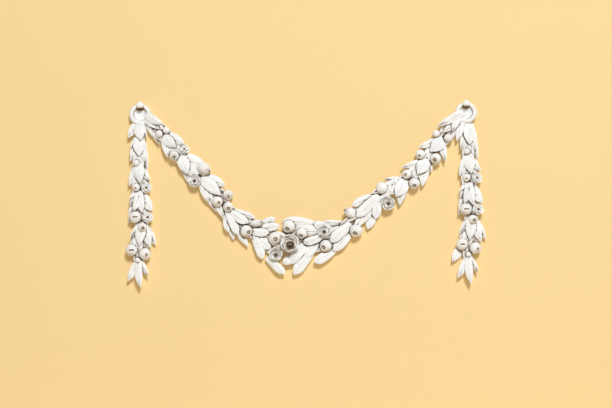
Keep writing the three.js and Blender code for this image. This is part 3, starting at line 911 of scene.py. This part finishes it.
def make_drop(side, start, length, shift, lean):
    x, z = ring_centre(side)
    axis = x + shift
    tiers = [dict(tier) for tier in drop_tiers]
    if side == "left":
        tiers.insert(0, left_top_tier)
    else:
        tiers[3]["leaves"] = tiers[3]["leaves"] + tiers[3]["right_only"]

    def root(tier):
        return axis + tier["right"] * leaf_length + tier["at"] * lean, z - start - tier["at"] * length

    rim = (axis, z - ring_diameter / 2 + ring_tube / 2)
    last = root(drop_tiers[-1])
    line = [rim, *[root(tier) for tier in drop_tiers[1:-1]], (last[0], last[1] - stem_end)]
    forms, nest = [stem(line, drop_stem_width, drop_stem_height)], []
    for order, tier in enumerate(tiers):
        number = order + len(drop_tiers) - len(tiers)
        made, pressed = spray_forms(root(tier), tier, 100 * number + drop_seed, drop_leaf_cut)
        forms.extend(made)
        nest.extend(pressed)
        if order + 1 < len(tiers):
            after = root(tiers[order + 1])
            spread = tier.get("cover_spread", cover_spread)
            seed = number + drop_cover_seed
            forms.extend(cover_leaves(root(tier), after, *drop_cover, seed, drop_leaf_cut, spread))
    neighbours = ring_moulds(f"ring_{side}", casting_gap)
    drop = cast_piece(f"cast_drop_{side}", forms, nest, fruit_moulds, neighbours, drop_paint)
    finish_piece(drop, f"drop_{side}")
    return drop


left_drop = make_drop("left", start=0.112, length=0.615, shift=-0.003, lean=0.0)
right_drop = make_drop("right", start=0.064, length=0.656, shift=0.015, lean=-0.011)


# The swag. One long flat-backed casting: a rope of laurel sprays with fruit, buds and roses, thickest
# at the middle round the largest rose. Its two ends lap over the rims of the rings.
swag_sag = 0.662
stem_bend = 0.42
swag_stem_width = 0.052
swag_stem_height = 0.020
swag_end_inside = 0.27
swag_end_below = 0.16
swag_seed = 1000
swag_cover = (0.8, 0.7)
swag_cover_seed = 1950
bare_middle = (-0.1, 0.2)

# The middle's leaves are blunt. Beyond this share of the half span they end in points.
swag_leaf_cut = {"broad": 1.06, "widest": 0.62, "bluntness": (2.1, 3.8)}
pointed_beyond = 0.6
swag_paint = painted_plaster("swag paint", darkening_strength=1.0, patch_size=0.055)

swag_sprays = (
    {"at": -1, "up": 0,
     "leaves": ((-24, 1.08, 0.6, 1), (-41, 0.92, 0.7, 2), (-60, 0.93, 0.45, 1), (-30, 1.61, 0.5, 0),
                (-63, 1.54, 0.5, 0)),
     "filling": ((-33, 0.85, 0.66, 3.2, 0.06, 0.1),),
     "nest": (("smooth", 1.02, -0.64, 0.64), ("berry", 0.67, -0.81, 0.98))},
    {"at": -0.893, "up": 0.05,
     "leaves": ((-23, 1.25, 0.9, 1), (-42, 0.92, 0.8, 2), (-76, 1.16, 0.6, 1), (-37, 1.82, 0.7, 0)),
     "nest": (("rose", 1.09, -0.7, 0.78), ("pleated", 0.57, -1.02, 0.84, -70))},
    {"at": -0.785, "up": -0.06,
     "leaves": ((-66, 1, 0.9, 2), (-46, 1.35, 1, 1), (-20, 1.44, 1.1, 1), (-83, 0.79, 0.45, 1),
                (-31, 1.95, 0.7, 0), (-70, 1.6, 0.6, 0)),
     "nest": (("bud", 1.2, -0.6, 1.0, -32, 1.4), ("rose", 0.74, -1.25, 1.02))},
    {"at": -0.645, "up": 0,
     "leaves": ((-75, 1.29, 0.7, 1), (-43, 1.29, 0.9, 2), (-16, 1.25, 0.9, 1), (-66, 1.84, 0.7, 0)),
     "nest": (("pleated", 1.31, -0.84, 0.87), ("dimpled", 0.78, -1.17, 0.94), ("fruit", 1.31, -1.45, 0.85))},
    {"at": -0.486, "up": -0.36,
     "leaves": ((-87, 1.11, 0.65, 1), (-78, 1.52, 0.6, 0), (-66, 1.37, 0.7, 2), (-31, 1.28, 0.8, 2),
                (-16, 1.47, 0.6, 1), (-60, 2.11, 0.7, 0)),
     "nest": (("fruit", 0.97, -1.05, 1.02), ("bud", 1.46, -0.66, 0.66, 6, 1.85))},
    {"at": -0.327, "up": -0.34,
     "leaves": ((30, 1.33, 0.8, 0), (11, 1.41, 0.75, 1), (-6, 0.85, 0.7, 2), (-45, 1.3, 0.9, 1),
                (-70, 1.5, 0.8, 1)),
     "nest": (("fruit", 1.13, -0.38, 1.07), ("rose", 1.17, -1.16, 1.17, 0.5))},
    {"at": -0.086, "up": 0,
     "leaves": ((169, 1.92, 0.85, 0, 1.5, 0.82), (-43, 1.14, 0.7, 1, -1.1, -0.7),
                (-126, 0.53, 0.7, 2, 0, -0.6)),
     "filling": ((176, 1.5, 1.0, 0, 1.5, 0.62), (100, 0.95, 1.0, 0), (66, 0.9, 1.0, 0), (35, 1.0, 1.0, 0)),
     "nest": (("hero", 0, 0, 1, 0.72), ("fruit", -0.07, 0.87, 1.08), ("fruit", 0.57, 0.53, 0.95),
              ("berry", 0.8, 0.16, 0.75))},
    {"at": 0.092, "up": 0.05,
     "leaves": ((-130, 1.17, 0.9, 2, -0.7, -0.15), (-139, 1.15, 0.9, 1), (-127, 1.46, 0.95, 1, -0.36, -0.42),
                (-161, 0.9, 0.7, 2, 0.1, 0.25), (158, 1.18, 0.8, 0, 0.85, 0.55),
                (-146, 1.15, 0.8, 1, 0.75, -0.35)),
     "nest": (("rose", 0.29, 0.57, 1.1, 0.5), ("fruit", 0.36, -0.16, 1))},
    {"at": 0.295, "up": 0.1,
     "leaves": ((172, 1.35, 0.5, 0), (-140, 1.32, 0.9, 2), (-131, 1.31, 0.9, 1, 0, -0.29)),
     "nest": (("bud", 0.02, 0.62, 0.86, 155, 1.5), ("fruit", 0.28, -0.27, 1.07))},
    {"at": 0.473, "up": 0.39,
     "leaves": ((-160, 1.4, 0.8, 1), (-137, 1.5, 0.9, 2), (-121, 1.62, 0.9, 1), (-108, 1.73, 0.8, 0),
                (-97, 1.17, 0.8, 1)),
     "nest": (("smooth", 0.18, 0.41, 1), ("rose", 0.5, -0.38, 1.15))},
    {"at": 0.645, "up": -0.14,
     "leaves": ((177, 1.07, 0.5, 0), (-137, 1.08, 0.8, 1), (-119, 0.99, 1, 2), (-103, 1.31, 0.8, 1)),
     "nest": (("dimpled", 0.08, 0.28, 0.84), ("fruit", 0.45, -0.18, 0.94))},
    {"at": 0.778, "up": -0.25,
     "leaves": ((-163, 1.31, 0.6, 1), (-121, 0.87, 1, 2), (-98, 1.35, 0.8, 1), (-66, 0.68, 0.7, 0)),
     "nest": (("dimpled", -0.28, 0.28, 0.82), ("fruit", 0.48, 0.05, 0.94))},
    {"at": 0.886, "up": -0.14,
     "leaves": ((-160, 1.34, 0.6, 1), (-135, 0.92, 1, 2), (-83, 1.16, 0.6, 1)),
     "nest": (("berry", -0.31, 0.27, 0.95), ("berry", 0.28, 0.04, 1.12))},
    {"at": 1.007, "up": 0.09,
     "leaves": ((-151, 1.43, 0.6, 1), (-133, 1.38, 0.8, 2), (-100, 1.46, 0.8, 1)),
     "filling": ((-147, 1.25, 0.62, 3.0, 0.05, 0.0), (-112, 0.95, 0.6, 2.6, -0.15, -0.1)),
     "nest": ()},
)


def swag_root(spray):
    half = ring_centre("right")[0] - swag_end_inside * ring_diameter
    rise = (math.hypot(spray["at"], stem_bend) - stem_bend) / (math.hypot(1, stem_bend) - stem_bend)
    top = swag_sag - swag_end_below * ring_diameter
    return spray["at"] * half, rise * top + spray["up"] * leaf_length


swag_line = [swag_root(spray) for spray in swag_sprays]
forms, nest = [stem(swag_line, swag_stem_width, swag_stem_height)], []
for order, spray in enumerate(swag_sprays):
    cut = drop_leaf_cut if abs(spray["at"]) > pointed_beyond else swag_leaf_cut
    made, pressed = spray_forms(swag_line[order], spray, swag_seed + 100 * order, cut)
    forms.extend(made)
    nest.extend(pressed)
    if spray["at"] < bare_middle[0] or spray["at"] > bare_middle[1]:
        after = swag_line[order + 1 if spray["at"] < 0 else order - 1]
        seed = swag_cover_seed + order
        forms.extend(cover_leaves(swag_line[order], after, *swag_cover, seed, drop_leaf_cut))
neighbours = [*ring_moulds("ring_left", casting_gap), *ring_moulds("ring_right", casting_gap),
              left_drop.data, right_drop.data]
swag = cast_piece("cast_swag", forms, nest, fruit_moulds, neighbours, swag_paint)
finish_piece(swag, "swag")


# The studio: a pale floor below, a plain warm board close behind that takes the soft shadows, a wide
# soft light from above in front and a weak one on the backs. The board shows only its front, and lets
# the weak light through.
floor_level = -0.86
floor_reach = 9
board_behind = 0.004
board_reach = 3
board_top = 2.4
floor_colour = (0.78, 0.76, 0.72, 1)
board_colour = (0.90, 0.665, 0.325, 1)
glow_colour = (1.0, 0.76, 0.46, 1)
glow_strength = 0.26
backdrop_colour = (0.80, 0.79, 0.77, 1)


def sheet(name, corners):
    """A single face, which looks the way its corners turn."""
    mesh = bpy.data.meshes.new(name)
    mesh.from_pydata(corners, [], [(0, 1, 2, 3)])
    thing = bpy.data.objects.new(f"studio_{name}", mesh)
    bpy.context.scene.collection.objects.link(thing)
    return thing


def plain_material(name, colour, roughness):
    material = bpy.data.materials.new(name)
    material.use_nodes = True
    shader = material.node_tree.nodes["Principled BSDF"]
    shader.inputs["Base Color"].default_value = colour
    shader.inputs["Roughness"].default_value = roughness
    return material


corners = ((-1, -1), (1, -1), (1, 1), (-1, 1))
floor = sheet("floor", [(x * floor_reach, y * floor_reach, floor_level) for x, y in corners])
floor.data.materials.append(plain_material("pale floor", floor_colour, roughness=0.7))

board_paint = plain_material("warm board", board_colour, roughness=0.9)
board_tree = board_paint.node_tree
see_through = shader_node(board_tree, "ShaderNodeBsdfTransparent", (0, -300))
faces_away = shader_node(board_tree, "ShaderNodeNewGeometry", (-250, 400))
one_sided = shader_node(board_tree, "ShaderNodeMixShader", (300, 100))
passing = shader_node(board_tree, "ShaderNodeLightPath", (-250, 700))
either = shader_node(board_tree, "ShaderNodeMath", (0, 500), operation="MAXIMUM")
board_tree.links.new(faces_away.outputs["Backfacing"], either.inputs[0])
board_tree.links.new(passing.outputs["Is Shadow Ray"], either.inputs[1])
board_tree.links.new(either.outputs[0], one_sided.inputs[0])
board_tree.links.new(board_tree.nodes["Principled BSDF"].outputs[0], one_sided.inputs[1])
board_tree.links.new(see_through.outputs[0], one_sided.inputs[2])
board_tree.links.new(one_sided.outputs[0], board_tree.nodes["Material Output"].inputs["Surface"])
levels = {-1: floor_level, 1: board_top}
board = sheet("board", [(x * board_reach, board_behind, levels[z]) for x, z in corners])
board.data.materials.append(board_paint)


light_colour = (0.87, 0.935, 1.0)


def soft_light(name, place, aim, size, power):
    lamp = bpy.data.lights.new(name, "AREA")
    lamp.shape = "RECTANGLE"
    lamp.size, lamp.size_y = size
    lamp.energy = power
    lamp.color = light_colour
    light = bpy.data.objects.new(name, lamp)
    light.location = place
    light.rotation_euler = (Vector(aim) - Vector(place)).to_track_quat("-Z", "Y").to_euler()
    bpy.context.scene.collection.objects.link(light)


soft_light("high soft light", place=(3.0, -14.8, 10.6), aim=(0, 0, 0.25), size=(4, 4), power=2800)
soft_light("weak light on the backs", place=(0, 7, 0.3), aim=(0, 0, 0.3), size=(3, 3), power=200)

# The air glows warm, as it does by a sunlit wall, but seen directly it is pale.
world = bpy.data.worlds.new("studio air")
world.use_nodes = True
air_tree = world.node_tree
glow = air_tree.nodes["Background"]
glow.inputs["Color"].default_value = glow_colour
glow.inputs["Strength"].default_value = glow_strength
backdrop = shader_node(air_tree, "ShaderNodeBackground", (0, -200))
backdrop.inputs["Color"].default_value = backdrop_colour
seen = shader_node(air_tree, "ShaderNodeLightPath", (-200, 300))
air = shader_node(air_tree, "ShaderNodeMixShader", (250, 0))
air_tree.links.new(seen.outputs["Is Camera Ray"], air.inputs[0])
air_tree.links.new(glow.outputs[0], air.inputs[1])
air_tree.links.new(backdrop.outputs[0], air.inputs[2])
air_tree.links.new(air.outputs[0], air_tree.nodes["World Output"].inputs["Surface"])
bpy.context.scene.world = world
bpy.context.scene.view_settings.view_transform = "Standard"

view_width = 3.06
view_centre = Vector((0.012, 0.0, 0.21))
lens = 85.0
sensor = 36.0
look_up = math.radians(4)
roll = math.radians(-0.35)
camera_data = bpy.data.cameras.new("camera")
camera_data.lens = lens
camera_data.sensor_width = sensor
camera_data.clip_end = 60
camera = bpy.data.objects.new("camera", camera_data)
away = view_width * lens / sensor
camera.location = view_centre + away * Vector((0, -math.cos(look_up), -math.sin(look_up)))
facing = (view_centre - camera.location).to_track_quat("-Z", "Y")
camera.rotation_euler = (facing @ Quaternion((0, 0, 1), roll)).to_euler()
bpy.context.scene.collection.objects.link(camera)
bpy.context.scene.camera = camera
